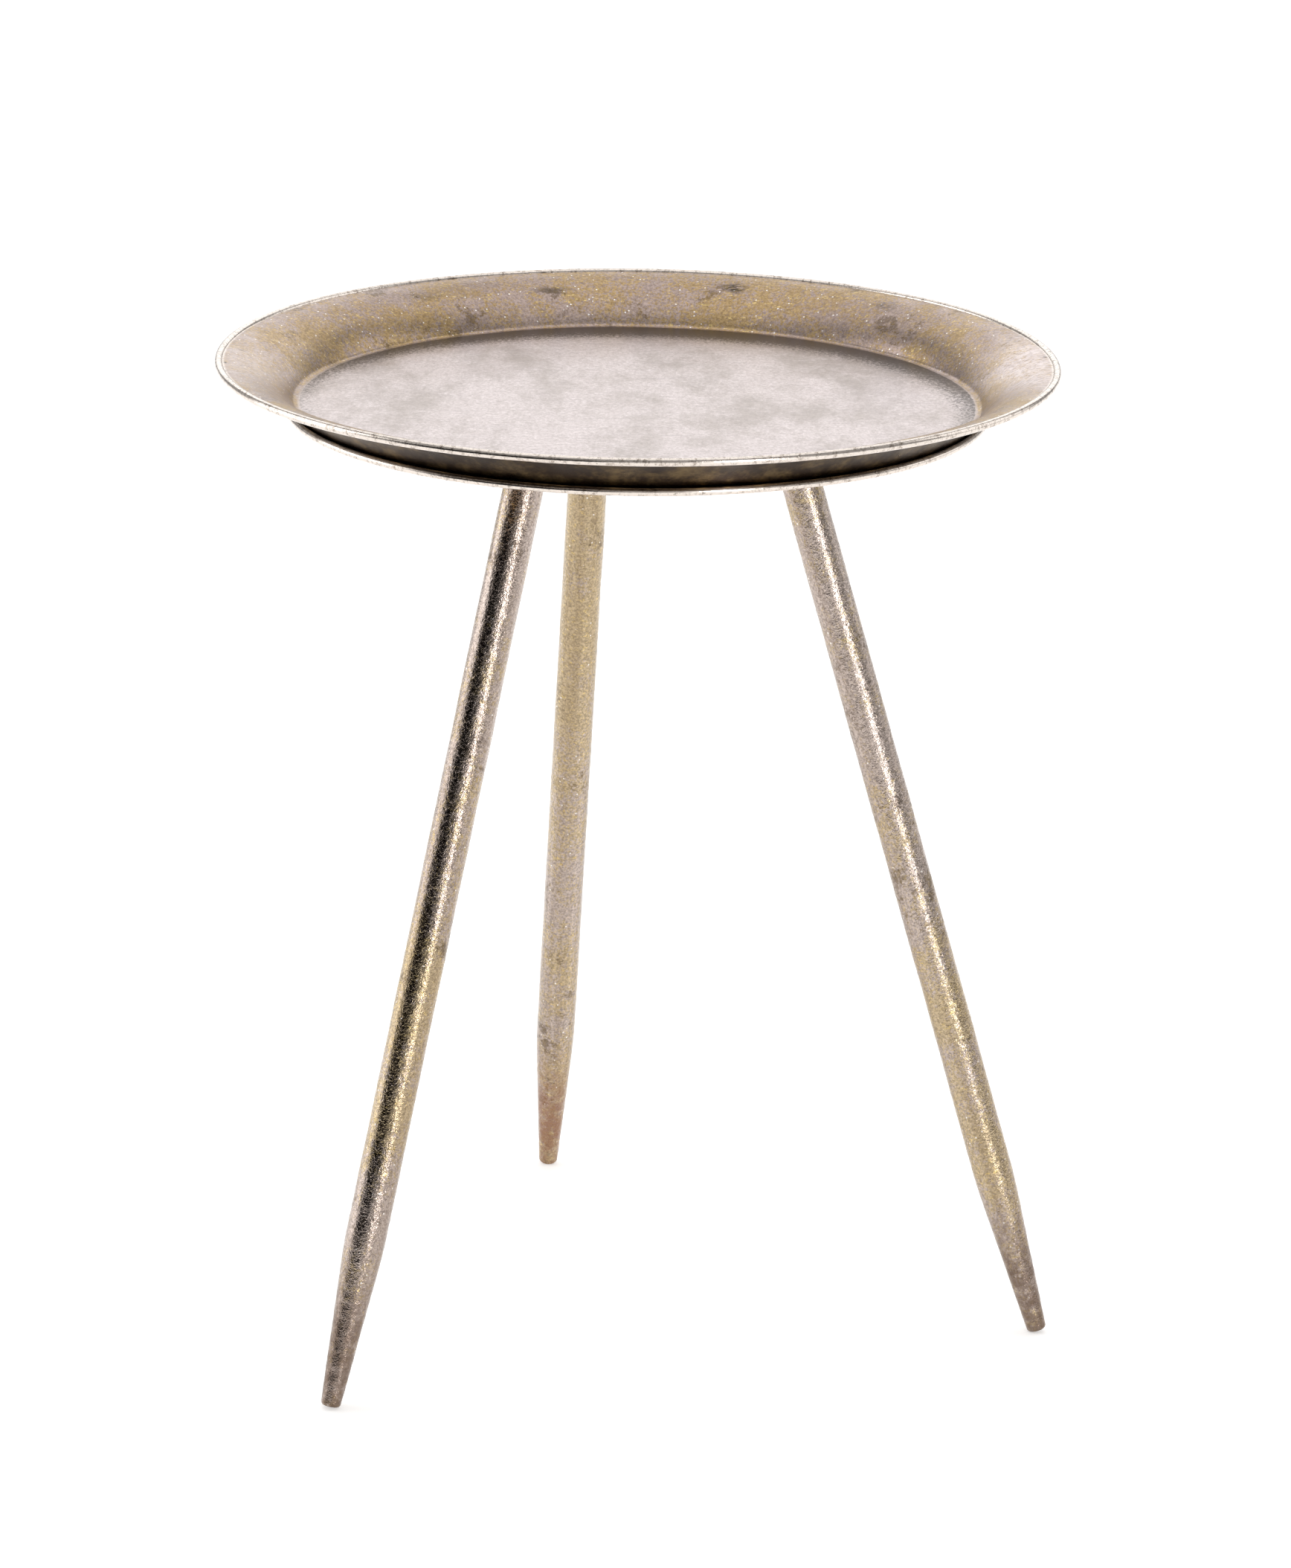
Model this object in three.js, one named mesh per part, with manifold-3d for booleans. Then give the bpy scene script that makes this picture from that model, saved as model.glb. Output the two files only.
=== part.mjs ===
// Round tray table: a loose spun tray resting on a flat plate, which stands on three splayed legs.
// Each leg screws onto a stud in an angled socket under the plate.
// Millimetres, +Z up. The origin is on the tray's axis, at floor level.

import * as THREE from 'three';
import { mergeVertices } from 'three/addons/utils/BufferGeometryUtils.js';
import Module from 'manifold-3d';

const wasm = await Module();
wasm.setup();

// ---- Driving dimensions ----

const TABLE_HEIGHT = 474.5;        // floor to the top of the tray's bead
const GAP = 0.3;                   // left between faces that touch on the real table
const BEAD_RADIUS = 1.9;           // rolled edge of the tray and of the plate

const TRAY_RADIUS = 200;           // outside of the tray's bead
const TRAY_RIM_WIDTH = 39;         // from the flat floor's edge to the outside of the bead
const TRAY_DEPTH = 21.5;           // tray floor to the top of its bead
const TRAY_SHEET = 1.2;
const TRAY_CORNER_RADIUS = 3;      // inside corner between the floor and the rim
const RIM_ROOT_ANGLE = 54;         // rim's slope where it leaves the floor, degrees
const RIM_LIP_ANGLE = 4;           // rim's slope where it meets the bead, degrees
const RIM_ROOT_REACH = 0.62;       // how far the steep root runs towards the bend, 0 to 1
const RIM_LIP_REACH = 0.62;        // how far the flat lip runs back towards the bend, 0 to 1
const LIP_ANGLE_ON_BEAD = 160;     // where the rim's top face runs into the bead, degrees round it

const PLATE_SHEET = 1.5;
const SEAT_CLEARANCE = 0.7;        // between the plate's bead and the tray's corner inside it

const PAD_RADIUS = 7;              // felt pads between the plate and the tray
const PAD_THICKNESS = 1;
const PAD_INSET = 36;              // from the edge of the tray's floor in to the pads' middles

const LEG_NAMES = ['a', 'b', 'c'];
const LEG_BEARINGS = [227.5, 107.5, 347.5];  // where the legs meet the plate, degrees from +X
const FOOT_DRIFTS = [0, -6, 2.5];  // how far round each foot stands from its leg's bearing
const LEG_CIRCLE_RADIUS = 71;      // the legs' axes, where they meet the plate's underside
const FOOT_CIRCLE_RADIUS = 204.5;  // the legs' axes, where they meet the floor
const LEG_RADIUS = 9.6;
const LEG_WALL = 1.6;
const FOOT_TIP_RADIUS = 4.75;
const FOOT_CORNER_RADIUS = 1.8;
const FOOT_TAPER_LENGTH = 78;
const FOOT_SHOULDER_LENGTH = 16;   // the soft bend between the taper and the straight leg
const FOOT_SOLID_LENGTH = 14;      // how much of the tip is solid

const SOCKET_OVERHANG = 1.9;       // how far the socket stands out past the leg
const SOCKET_LENGTH = 18;          // along the leg's axis, below the plate
const SOCKET_CHAMFER = 1;
const STUD_RADIUS = 5;
const STUD_CHAMFER = 0.8;
const STUD_IN_SOCKET = 11;         // thread engaged in the socket
const STUD_IN_PLUG = 16;           // thread engaged in the leg's plug
const STUD_END_ROOM = 2;           // drilled past the stud's upper end
const PLUG_LENGTH = 24;
const WASHER_WIDTH = 3.5;          // from its bore to its outside
const WASHER_THICKNESS = 2.2;
const WASHER_SLIT = 1.6;

const ROUND_SEGMENTS = 72;         // facets round the tray and the plate
const LEG_SEGMENTS = 24;           // facets round a leg
const FITTING_SEGMENTS = 20;       // facets round small fittings
const BEAD_STEPS = 12;
const RIM_STEPS = 8;
const CORNER_STEPS = 3;

// ---- Heights and fits that follow from them ----

const trayFloor = TABLE_HEIGHT - TRAY_DEPTH;
const trayUnderside = trayFloor - TRAY_SHEET;
const padTop = trayUnderside - GAP;
const plateTop = padTop - PAD_THICKNESS - GAP;
const plateUnderside = plateTop - PLATE_SHEET;

// The plate's bead stands round the tray's corner: its middle is far enough out to leave the
// clearance between the two round sections.
const trayWellRadius = TRAY_RADIUS - TRAY_RIM_WIDTH;
const seatReach = TRAY_CORNER_RADIUS + TRAY_SHEET + SEAT_CLEARANCE + BEAD_RADIUS;
const seatRise = trayFloor + TRAY_CORNER_RADIUS - (plateUnderside + BEAD_RADIUS);
const plateBeadCircle = trayWellRadius + Math.sqrt(seatReach ** 2 - seatRise ** 2);
const padCircle = trayWellRadius - PAD_INSET;

const socketRadius = LEG_RADIUS + SOCKET_OVERHANG;
const studBore = STUD_RADIUS + GAP;
const washerRadius = studBore + WASHER_WIDTH;

// ---- Materials ----

const trayMetal = { color: 0xb8aca6, metalness: 0.9, roughness: 0.42 };
const plateMetal = { color: 0xa3967f, metalness: 0.9, roughness: 0.4 };
const legMetal = { color: 0x9b8c7a, metalness: 0.9, roughness: 0.38 };
const steel = { color: 0x9a9c9f, metalness: 0.9, roughness: 0.35 };
const felt = { color: 0x4a3f37, metalness: 0, roughness: 0.95 };

// ---- Small helpers ----

function radians(degrees) {
  return degrees * Math.PI / 180;
}

function onCircle(centre, radius, degrees) {
  const turn = radians(degrees);
  return new THREE.Vector2(centre.x + radius * Math.cos(turn), centre.y + radius * Math.sin(turn));
}

// Points on an arc, both ends included, from one angle to another in degrees.
function arc(centre, radius, from, to, steps) {
  const points = [];
  for (let i = 0; i <= steps; i += 1) {
    points.push(onCircle(centre, radius, from + (to - from) * i / steps));
  }
  return points;
}

// A solid of revolution about Z. The outline runs from the axis outwards along the
// underside and back along the top, so that the faces point out.
function turned(outline, segments) {
  const geometry = new THREE.LatheGeometry(outline, segments);
  geometry.rotateX(Math.PI / 2);
  return geometry;
}

function rod(radius, from, to, chamfer, segments) {
  return turned([
    new THREE.Vector2(0, from),
    new THREE.Vector2(radius - chamfer, from),
    new THREE.Vector2(radius, from + chamfer),
    new THREE.Vector2(radius, to - chamfer),
    new THREE.Vector2(radius - chamfer, to),
    new THREE.Vector2(0, to),
  ], segments);
}

function solidFrom(geometry) {
  const bare = geometry.clone();
  bare.deleteAttribute('normal');
  bare.deleteAttribute('uv');
  const merged = mergeVertices(bare, 1e-4);
  return new wasm.Manifold(new wasm.Mesh({
    numProp: 3,
    vertProperties: new Float32Array(merged.attributes.position.array),
    triVerts: new Uint32Array(merged.index.array),
  }));
}

function geometryFrom(solid) {
  const mesh = solid.getMesh();
  const geometry = new THREE.BufferGeometry();
  geometry.setAttribute('position', new THREE.BufferAttribute(mesh.vertProperties, 3));
  geometry.setIndex(new THREE.BufferAttribute(mesh.triVerts, 1));
  geometry.computeVertexNormals();
  return geometry;
}

function piece(name, geometry, look) {
  const mesh = new THREE.Mesh(geometry, new THREE.MeshStandardMaterial(look));
  mesh.name = name;
  return mesh;
}

// ---- Tray: flat floor, rounded corner, trumpet-shaped rim and a rolled bead ----

// The rim's top face: a cubic curve that starts along the steep root and ends along the flat
// lip. Its two middle points lie on those two directions, short of where they cross.
function rimCurve(root, lip) {
  const rootRise = Math.tan(radians(RIM_ROOT_ANGLE));
  const lipRise = Math.tan(radians(RIM_LIP_ANGLE));
  const run = (lip.y - root.y - lipRise * (lip.x - root.x)) / (rootRise - lipRise);
  const bend = new THREE.Vector2(root.x + run, root.y + rootRise * run);
  const nearRoot = root.clone().lerp(bend, RIM_ROOT_REACH);
  const nearLip = lip.clone().lerp(bend, RIM_LIP_REACH);
  return new THREE.CubicBezierCurve(root, nearRoot, nearLip, lip);
}

function trayOutline() {
  const cornerCentre = new THREE.Vector2(trayWellRadius, TRAY_CORNER_RADIUS);
  const cornerEnd = RIM_ROOT_ANGLE - 90;
  const cornerTop = arc(cornerCentre, TRAY_CORNER_RADIUS, -90, cornerEnd, CORNER_STEPS);
  const cornerUnder = arc(cornerCentre, TRAY_CORNER_RADIUS + TRAY_SHEET, -90, cornerEnd, CORNER_STEPS);
  const beadCentre = new THREE.Vector2(TRAY_RADIUS - BEAD_RADIUS, TRAY_DEPTH - BEAD_RADIUS);
  const lip = onCircle(beadCentre, BEAD_RADIUS, LIP_ANGLE_ON_BEAD);
  const rim = rimCurve(cornerTop[CORNER_STEPS], lip);
  const rimTop = [];
  const rimUnder = [];
  for (let i = 1; i <= RIM_STEPS; i += 1) {
    const point = rim.getPoint(i / RIM_STEPS);
    const along = rim.getTangent(i / RIM_STEPS);
    rimTop.push(point);
    rimUnder.push(new THREE.Vector2(point.x + TRAY_SHEET * along.y, point.y - TRAY_SHEET * along.x));
  }
  const underEnd = rimUnder.pop().sub(beadCentre);
  const underAngle = THREE.MathUtils.radToDeg(underEnd.angle()) - 360;
  rimTop.pop();
  return [
    new THREE.Vector2(0, -TRAY_SHEET),
    ...cornerUnder,
    ...rimUnder,
    ...arc(beadCentre, BEAD_RADIUS, underAngle, LIP_ANGLE_ON_BEAD, BEAD_STEPS),
    ...rimTop.reverse(),
    ...cornerTop.reverse(),
    new THREE.Vector2(0, 0),
  ];
}

function makeTray() {
  const tray = piece('tray', turned(trayOutline(), ROUND_SEGMENTS), trayMetal);
  tray.position.z = trayFloor;
  return tray;
}

// ---- Plate: a flat disc whose edge is rolled into a bead that stands above it ----

function plateOutline() {
  const beadCentre = new THREE.Vector2(plateBeadCircle, BEAD_RADIUS - PLATE_SHEET);
  const meetsTop = 180 + THREE.MathUtils.radToDeg(Math.asin(beadCentre.y / BEAD_RADIUS));
  return [
    new THREE.Vector2(0, -PLATE_SHEET),
    ...arc(beadCentre, BEAD_RADIUS, -90, meetsTop, BEAD_STEPS),
    new THREE.Vector2(0, 0),
  ];
}

function makePlate() {
  const plate = piece('support_plate', turned(plateOutline(), ROUND_SEGMENTS), plateMetal);
  plate.position.z = plateTop;
  return plate;
}

// ---- Felt pads, one above each leg ----

function makePad(name, bearing) {
  const outline = [
    new THREE.Vector2(0, 0),
    new THREE.Vector2(PAD_RADIUS, 0),
    new THREE.Vector2(PAD_RADIUS, PAD_THICKNESS),
    new THREE.Vector2(0, PAD_THICKNESS),
  ];
  const pad = piece(`tray_pad_${name}`, turned(outline, FITTING_SEGMENTS), felt);
  const spot = onCircle(new THREE.Vector2(), padCircle, bearing);
  pad.position.set(spot.x, spot.y, plateTop + GAP);
  return pad;
}

// ---- Legs: each is built upright from its foot, then set on its slanting axis ----

// Where a leg's axis runs: from the middle of its foot's end face up to the plate.
function legAxis(bearing, drift) {
  const middle = new THREE.Vector2();
  const top = onCircle(middle, LEG_CIRCLE_RADIUS, bearing);
  const bottom = onCircle(middle, FOOT_CIRCLE_RADIUS, bearing + drift);
  const up = new THREE.Vector3(top.x - bottom.x, top.y - bottom.y, plateUnderside).normalize();
  const lean = Math.acos(up.z);
  const edgeDrop = (FOOT_TIP_RADIUS - FOOT_CORNER_RADIUS) * Math.sin(lean);
  const cornerDrop = FOOT_CORNER_RADIUS * (1 - Math.cos(lean));
  const lift = (edgeDrop + cornerDrop) / up.z;
  const foot = new THREE.Vector3(bottom.x, bottom.y, 0).addScaledVector(up, lift);
  const length = (plateUnderside - foot.z) / up.z;
  return { foot, up, length };
}

function legOutline(length) {
  const cornerCentre = new THREE.Vector2(FOOT_TIP_RADIUS - FOOT_CORNER_RADIUS, FOOT_CORNER_RADIUS);
  const taper = (LEG_RADIUS - FOOT_TIP_RADIUS) / (FOOT_TAPER_LENGTH - FOOT_CORNER_RADIUS);
  const shoulderStart = new THREE.Vector2(
    LEG_RADIUS - taper * FOOT_SHOULDER_LENGTH / 2,
    FOOT_TAPER_LENGTH - FOOT_SHOULDER_LENGTH / 2,
  );
  const shoulder = new THREE.QuadraticBezierCurve(
    shoulderStart,
    new THREE.Vector2(LEG_RADIUS, FOOT_TAPER_LENGTH),
    new THREE.Vector2(LEG_RADIUS, FOOT_TAPER_LENGTH + FOOT_SHOULDER_LENGTH / 2),
  );
  const bore = LEG_RADIUS - LEG_WALL;
  const boreTip = FOOT_TIP_RADIUS + taper * FOOT_SOLID_LENGTH - LEG_WALL;
  return [
    new THREE.Vector2(0, 0),
    ...arc(cornerCentre, FOOT_CORNER_RADIUS, -90, 0, CORNER_STEPS),
    ...shoulder.getPoints(CORNER_STEPS),
    new THREE.Vector2(LEG_RADIUS, length),
    new THREE.Vector2(bore, length),
    new THREE.Vector2(bore, FOOT_TAPER_LENGTH + FOOT_SHOULDER_LENGTH / 2),
    new THREE.Vector2(boreTip, FOOT_SOLID_LENGTH),
    new THREE.Vector2(0, FOOT_SOLID_LENGTH),
  ];
}

function makeLeg(name, legTop) {
  return piece(`leg_${name}`, turned(legOutline(legTop), LEG_SEGMENTS), legMetal);
}

// Threaded plug pressed into the leg's open top, with a hole right through for the stud.
function makePlug(name, legTop) {
  const outer = rod(LEG_RADIUS - LEG_WALL - GAP, legTop - PLUG_LENGTH, legTop, GAP, FITTING_SEGMENTS);
  const through = rod(studBore, legTop - PLUG_LENGTH - 1, legTop + 1, 0.1, FITTING_SEGMENTS);
  const plug = solidFrom(outer).subtract(solidFrom(through));
  return piece(`leg_plug_${name}`, geometryFrom(plug), steel);
}

function makeStud(name, from, to) {
  return piece(`leg_stud_${name}`, rod(STUD_RADIUS, from, to, STUD_CHAMFER, FITTING_SEGMENTS), steel);
}

// Split spring washer between the leg's top and the socket.
function makeWasher(name, height) {
  const outerStart = WASHER_SLIT / 2 / washerRadius;
  const innerStart = WASHER_SLIT / 2 / studBore;
  const ring = new THREE.Shape();
  ring.absarc(0, 0, washerRadius, outerStart, 2 * Math.PI - outerStart, false);
  ring.absarc(0, 0, studBore, 2 * Math.PI - innerStart, innerStart, true);
  const geometry = new THREE.ExtrudeGeometry(ring, {
    depth: WASHER_THICKNESS,
    bevelEnabled: false,
    curveSegments: FITTING_SEGMENTS,
  });
  geometry.translate(0, 0, height);
  return piece(`spring_washer_${name}`, geometry, steel);
}

// Angled socket welded under the plate: a short boss on the leg's axis, cut off level under
// the plate and drilled from below for the stud.
function makeSocket(name, frame, axisLength, studTop) {
  const foot = axisLength - SOCKET_LENGTH;
  const reach = axisLength + socketRadius;
  const boss = rod(socketRadius, foot, reach, SOCKET_CHAMFER, FITTING_SEGMENTS);
  const hole = rod(studBore, foot - 1, studTop + STUD_END_ROOM, STUD_CHAMFER, FITTING_SEGMENTS);
  const wide = 8 * socketRadius;
  const above = new THREE.BoxGeometry(wide, wide, wide);
  const overSocket = new THREE.Vector3(0, 0, axisLength).applyMatrix4(frame);
  above.translate(overSocket.x, overSocket.y, plateUnderside - GAP + wide / 2);
  above.applyMatrix4(frame.clone().invert());
  const socket = solidFrom(boss).subtract(solidFrom(hole)).subtract(solidFrom(above));
  return piece(`leg_socket_${name}`, geometryFrom(socket), plateMetal);
}

function makeLegSet(name, bearing, drift) {
  const { foot, up, length } = legAxis(bearing, drift);
  const set = new THREE.Group();
  set.position.copy(foot);
  set.quaternion.setFromUnitVectors(new THREE.Vector3(0, 0, 1), up);
  set.updateMatrix();
  const socketFoot = length - SOCKET_LENGTH;
  const washerFoot = socketFoot - GAP - WASHER_THICKNESS;
  const legTop = washerFoot - GAP;
  const studTop = socketFoot + STUD_IN_SOCKET;
  set.add(makeLeg(name, legTop));
  set.add(makePlug(name, legTop));
  set.add(makeStud(name, legTop - STUD_IN_PLUG, studTop));
  set.add(makeWasher(name, washerFoot));
  set.add(makeSocket(name, set.matrix, length, studTop));
  return set;
}

// ---- The table ----

const group = new THREE.Group();
group.add(makeTray());
group.add(makePlate());
LEG_NAMES.forEach((name, i) => {
  group.add(makePad(name, LEG_BEARINGS[i]));
  group.add(makeLegSet(name, LEG_BEARINGS[i], FOOT_DRIFTS[i]));
});

export default group;
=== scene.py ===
"""Round tray table in antiqued brass plate: a loose spun tray, its support plate and three splayed legs.

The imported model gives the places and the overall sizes. Every piece here is a fine surface worked out
with numpy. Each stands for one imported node, apart from the weld beads, which are added. Shapes are in
millimetres until the mesh is written.
"""

import logging
import math
from dataclasses import dataclass, field
from enum import Enum, IntEnum

import bpy
import numpy as np
from mathutils import Matrix, Vector


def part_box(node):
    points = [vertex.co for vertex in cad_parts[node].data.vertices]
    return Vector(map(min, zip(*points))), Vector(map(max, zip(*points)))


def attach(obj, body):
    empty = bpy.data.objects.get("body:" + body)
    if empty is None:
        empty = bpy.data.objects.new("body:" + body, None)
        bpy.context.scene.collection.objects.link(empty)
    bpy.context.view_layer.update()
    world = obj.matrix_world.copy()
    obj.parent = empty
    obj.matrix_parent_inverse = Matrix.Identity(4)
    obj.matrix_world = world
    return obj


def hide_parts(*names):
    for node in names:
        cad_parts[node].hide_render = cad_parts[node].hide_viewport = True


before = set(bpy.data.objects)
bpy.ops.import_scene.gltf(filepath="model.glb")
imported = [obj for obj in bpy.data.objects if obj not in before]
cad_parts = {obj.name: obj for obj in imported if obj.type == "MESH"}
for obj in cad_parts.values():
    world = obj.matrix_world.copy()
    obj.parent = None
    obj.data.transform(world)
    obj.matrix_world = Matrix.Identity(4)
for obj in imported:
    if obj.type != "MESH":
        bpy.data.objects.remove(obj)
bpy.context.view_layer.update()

MM = 0.001  # one millimetre, in metres
GAP = 0.3  # left between faces that touch on the real table, mm
SHARP = math.radians(40)  # edges bent by more than this stay crisp
NOISE_SPAN = 0.25  # the part of its range that a noise mostly keeps to
UNDER_HUB, TOP_HUB = 4, 3  # radius of a sheet's innermost ring on its underside and its top, mm
ANY_HEIGHT = 1000  # metres up and down that a smudge reaches, which leaves its height free
SMOOTH = {"interpolation_type": "SMOOTHSTEP"}

log = logging.getLogger("tray_table")

Profile = np.ndarray  # (n, 2): distance from the axis, height
Pair = tuple[float, float]  # a point on a profile, or a range
Triple = tuple[float, float, float]
Socket = bpy.types.NodeSocket
Object = bpy.types.Object
Material = bpy.types.Material


class Body(Enum):
    """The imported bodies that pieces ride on."""

    BASE = "base"
    TRAY = "tray"


class Slot(Enum):
    """The record's material slots."""

    TRAY_METAL = "tray_metal"
    PLATE_METAL = "plate_metal"
    LEG_METAL = "leg_metal"
    STEEL = "steel"
    FELT = "felt"


class Zone(IntEnum):
    """Stretches of a spun sheet's outline, in their order along it."""

    UNDER = 0
    BEAD = 1
    RIM = 2
    FLOOR = 3


# ---- Shapes as arrays ----


def line(start: Pair, end: Pair, steps: int) -> Profile:
    """Points along a straight line, evenly spaced, both ends included."""
    share = np.linspace(0, 1, steps + 1)[:, None]
    return np.array(start) * (1 - share) + np.array(end) * share


def arc(centre: Pair, radius: float | np.ndarray, start: float, end: float, steps: int) -> Profile:
    """Points on a circle from one angle to another in degrees: centre + radius * (cos, sin)."""
    turn = np.radians(np.linspace(start, end, steps + 1))
    return np.array(centre) + radius * np.stack([np.cos(turn), np.sin(turn)], axis=-1)


def bezier(corners: np.ndarray, steps: int) -> Profile:
    """A smooth curve: its corners weighted by C(n, k) t^k (1 - t)^(n - k), for equal steps of t."""
    t = np.linspace(0, 1, steps + 1)[:, None]
    power = np.arange(len(corners))
    ways = np.array([math.comb(len(corners) - 1, k) for k in power])
    return (ways * t**power * (1 - t) ** power[::-1]) @ corners


def circle(segments: int) -> np.ndarray:
    """Angles evenly spaced round a full turn, in radians."""
    return np.arange(segments) * 2 * np.pi / segments


def polar(radius: float | np.ndarray, turn: np.ndarray, height: float | np.ndarray) -> np.ndarray:
    """Points at (r cos a, r sin a, z), for radii, angles and heights that broadcast together."""
    return np.stack(np.broadcast_arrays(radius * np.cos(turn), radius * np.sin(turn), height), axis=-1)


def turned(profile: Profile, segments: int) -> np.ndarray:
    """A profile carried round the axis, as (n, segments, 3) points."""
    return polar(profile[:, :1], circle(segments), profile[:, 1:])


def push(rows: np.ndarray, distance: np.ndarray) -> None:
    """Moves points straight out from the Z axis in place, each by its own distance."""
    outward = rows[..., :2] / np.linalg.norm(rows[..., :2], axis=-1, keepdims=True)
    rows[..., :2] += distance[..., None] * outward


def centres(rows: np.ndarray) -> tuple[np.ndarray, np.ndarray]:
    """The middles of the first and the last ring."""
    return rows[0].mean(axis=0), rows[-1].mean(axis=0)


def joined(parts: list[tuple[Zone, Profile]]) -> tuple[Profile, np.ndarray]:
    """The stretches of an outline in one, and a column with each point's zone."""
    zones = np.concatenate([np.full((len(part), 1), zone) for zone, part in parts])
    return np.concatenate([part for _, part in parts]), zones


def ramp(values: np.ndarray, low: float, high: float) -> np.ndarray:
    """Rises smoothly from 0 at low to 1 at high, as 3x^2 - 2x^3."""
    share = np.clip((values - low) / (high - low), 0, 1)
    return share * share * (3 - 2 * share)


@dataclass(frozen=True)
class Waves:
    """Smooth random unevenness: a sum of plane sine waves of seeded directions and lengths."""

    height: float  # about how far it goes each way, mm
    shortest: float  # wave, mm
    longest: float  # wave, mm
    seed: int
    count: int = 36

    def at(self, points: np.ndarray) -> np.ndarray:
        """One height for each of the points, which are (..., 3) in mm."""
        draw = np.random.default_rng(self.seed)
        directions = draw.normal(size=(self.count, 3))
        directions /= np.linalg.norm(directions, axis=1, keepdims=True)
        lengths = np.exp(draw.uniform(math.log(self.shortest), math.log(self.longest), self.count))
        phases = draw.uniform(0, 2 * np.pi, self.count)
        total = np.zeros(points.shape[:-1])
        for direction, length, phase in zip(directions, lengths, phases):
            total += np.sin(points @ (direction * 2 * np.pi / length) + phase)
        return total * self.height / math.sqrt(self.count / 2)


def skin(name: str, rows: np.ndarray, *ends: np.ndarray) -> Object:
    """Makes a smooth closed surface from rings of points.

    Neighbouring rings are joined by quads. Faces point out when the rings run outwards along the
    underside and back along the top.

    Args:
        name: the piece's name.
        rows: (m, n, 3) rings in mm, each of n points in order round it.
        ends: the points that close the first and the last ring, or nothing to join those two rings.

    Returns:
        The new object, at the origin.
    """
    count, around, _ = rows.shape
    number = np.arange(count * around).reshape(count, around)
    if not ends:
        number = np.vstack([number, number[:1]])
    beside = np.roll(number, -1, axis=1)
    quads = np.stack([number[:-1], beside[:-1], beside[1:], number[1:]], axis=-1).reshape(-1, 4)
    fans = np.zeros((0, 3), int)
    if ends:
        foot = np.full(around, count * around)
        first = np.stack([foot, beside[0], number[0]], axis=-1)
        fans = np.concatenate([first, np.stack([number[-1], beside[-1], foot + 1], axis=-1)])
    points = np.vstack([rows.reshape(-1, 3), *ends]) * MM
    corners = np.concatenate([quads.ravel(), fans.ravel()])
    starts = np.concatenate([np.arange(len(quads)) * 4, quads.size + np.arange(len(fans)) * 3])
    mesh = bpy.data.meshes.new(name)
    mesh.vertices.add(len(points))
    mesh.vertices.foreach_set("co", points.ravel())
    mesh.loops.add(len(corners))
    mesh.loops.foreach_set("vertex_index", corners)
    mesh.polygons.add(len(starts))
    mesh.polygons.foreach_set("loop_start", starts)
    mesh.update(calc_edges=True)
    mesh.validate()
    mesh.shade_smooth()
    mesh.set_sharp_from_angle(angle=SHARP)
    return stand(name, mesh)


def stand(name: str, data: bpy.types.ID) -> Object:
    """Puts an object made of this mesh, lamp or lens into the scene."""
    made = bpy.data.objects.new(name, data)
    bpy.context.scene.collection.objects.link(made)
    return made


def mark(piece: Object, name: str, values: np.ndarray) -> None:
    """Writes one number or one vector for each of the piece's ring points as a named attribute.

    Args:
        piece: made by skin.
        name: the attribute's name.
        values: (m, n) numbers or (m, n, 3) vectors, in the rings' order; the closing points get the
            first and the last ring's mean.
    """
    flat = values.reshape(-1, *values.shape[2:])
    if len(piece.data.vertices) > len(flat):
        flat = np.concatenate([flat, *([end] for end in centres(values))])
    kind, entry = ("FLOAT_VECTOR", "vector") if values.ndim == 3 else ("FLOAT", "value")
    attribute = piece.data.attributes.new(name, kind, "POINT")
    attribute.data.foreach_set(entry, flat.astype(np.float32).ravel())


def mark_zones(
    piece: Object,
    zones: np.ndarray,
    segments: int,
    floor: np.ndarray | float = 0.0,
    corner: np.ndarray | float = 0.0,
) -> None:
    """Marks what a spun sheet's finish reads.

    Args:
        piece: made by skin.
        zones: the zone of each ring, as a column.
        segments: how many points a ring has.
        floor: how far each place is on the tray's floor, from 0 to 1.
        corner: how much shade is painted there, standing in for the rim's shade and dark reflection on the
            floor's edge.
    """
    marks = {"bead": zones == Zone.BEAD, "under": zones == Zone.UNDER, "floor": floor, "corner": corner}
    for name, values in marks.items():
        mark(piece, name, values * np.ones((len(zones), segments)))


def finish_piece(
    piece: Object, body: Body, finish: Material, node: str = ""
) -> Object:
    """Dresses a piece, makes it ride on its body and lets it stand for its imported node.

    Args:
        piece: the new object.
        body: what it moves with.
        finish: its material.
        node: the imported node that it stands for, if there is one.

    Returns:
        The same object.
    """
    piece.data.materials.append(finish)
    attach(piece, body.value)
    triangles = sum(len(face.vertices) - 2 for face in piece.data.polygons)
    log.info("%s: %d triangles", piece.name, triangles)
    if node:
        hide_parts(node)
        low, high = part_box(node)
        places = np.array([vertex.co for vertex in piece.data.vertices])
        off = max(np.abs(places.min(0) - low).max(), np.abs(places.max(0) - high).max())
        log.info("%s: %.2f mm from its packed box", piece.name, off / MM)
    return piece


# ---- Finishes ----


def linear(colour: str) -> tuple[float, float, float, float]:
    """An sRGB hex colour as linear red, green, blue and full alpha."""
    parts = [int(colour[i : i + 2], 16) / 255 for i in (1, 3, 5)]
    return (*[p / 12.92 if p <= 0.04045 else ((p + 0.055) / 1.055) ** 2.4 for p in parts], 1.0)


def per_metre(size: float) -> float:
    """The texture scale that gives features of this size in mm."""
    return 1 / (size * MM)


@dataclass(frozen=True)
class Layer:
    """One colour laid over those below it."""

    share: Socket  # where it lies, from 0 to 1
    colour: str | Socket  # sRGB hex, or another colour's socket
    strength: float = 1.0  # how much it covers where its share is 1
    mode: str = "MIX"


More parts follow.
